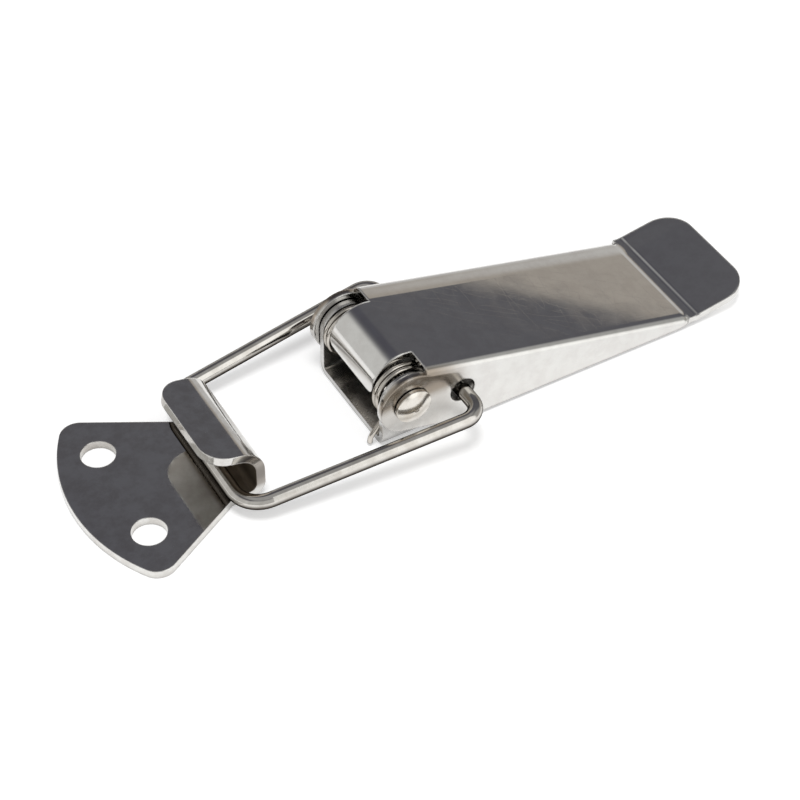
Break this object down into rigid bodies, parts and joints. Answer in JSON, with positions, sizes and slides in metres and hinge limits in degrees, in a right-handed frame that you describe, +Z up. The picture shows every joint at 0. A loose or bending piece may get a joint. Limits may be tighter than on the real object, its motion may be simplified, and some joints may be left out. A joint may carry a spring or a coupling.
{
  "type": "over centre toggle latch",
  "caption": "Over-centre toggle latch in bright stainless steel: channel lever with finger tab, tapered wire bail and fan-shaped catch plate with a curled hook.",
  "frame": {"origin": "middle of the base plate's two screw holes, on the mounting plane", "axes": "+X along the lever towards its finger tab, +Y along the pivot axis, +Z up from the mounting plane"},
  "size_m": [0.0963, 0.0298, 0.012],
  "materials": {
    "base_plate": "bright rolled stainless sheet",
    "lever": "bright rolled stainless sheet",
    "pivot_rivet": "upset stainless rivet",
    "spring_near": "drawn spring wire",
    "spring_far": "drawn spring wire",
    "bail": "bright drawn wire",
    "catch_plate": "bright rolled stainless sheet"
  },
  "bodies": {
    "base_body": {"base_plate": "base_plate", "pivot_rivet": "pivot_rivet", "spring_near": "spring_near", "spring_far": "spring_far", "catch_plate": "catch_plate"},
    "lever_body": {"lever": "lever"},
    "bail_body": {"bail": "bail"}
  },
  "joints": [
    {"name": "lever_pivot", "type": "hinge", "parent": "base_body", "child": "lever_body", "pos_m": [-0.021, 0, 0.007], "axis": [0, -1, 0], "range_deg": [0, 105], "deforming": ["spring_near", "spring_far"]},
    {"name": "bail_pivot", "type": "hinge", "parent": "lever_body", "child": "bail_body", "pos_m": [-0.0135, 0, 0.0058], "axis": [0, -1, 0], "range_deg": [-90, 0]}
  ],
  "couplings": [
    {"joint": "bail_pivot", "follows": "lever_pivot", "ratio": -0.85}
  ]
}
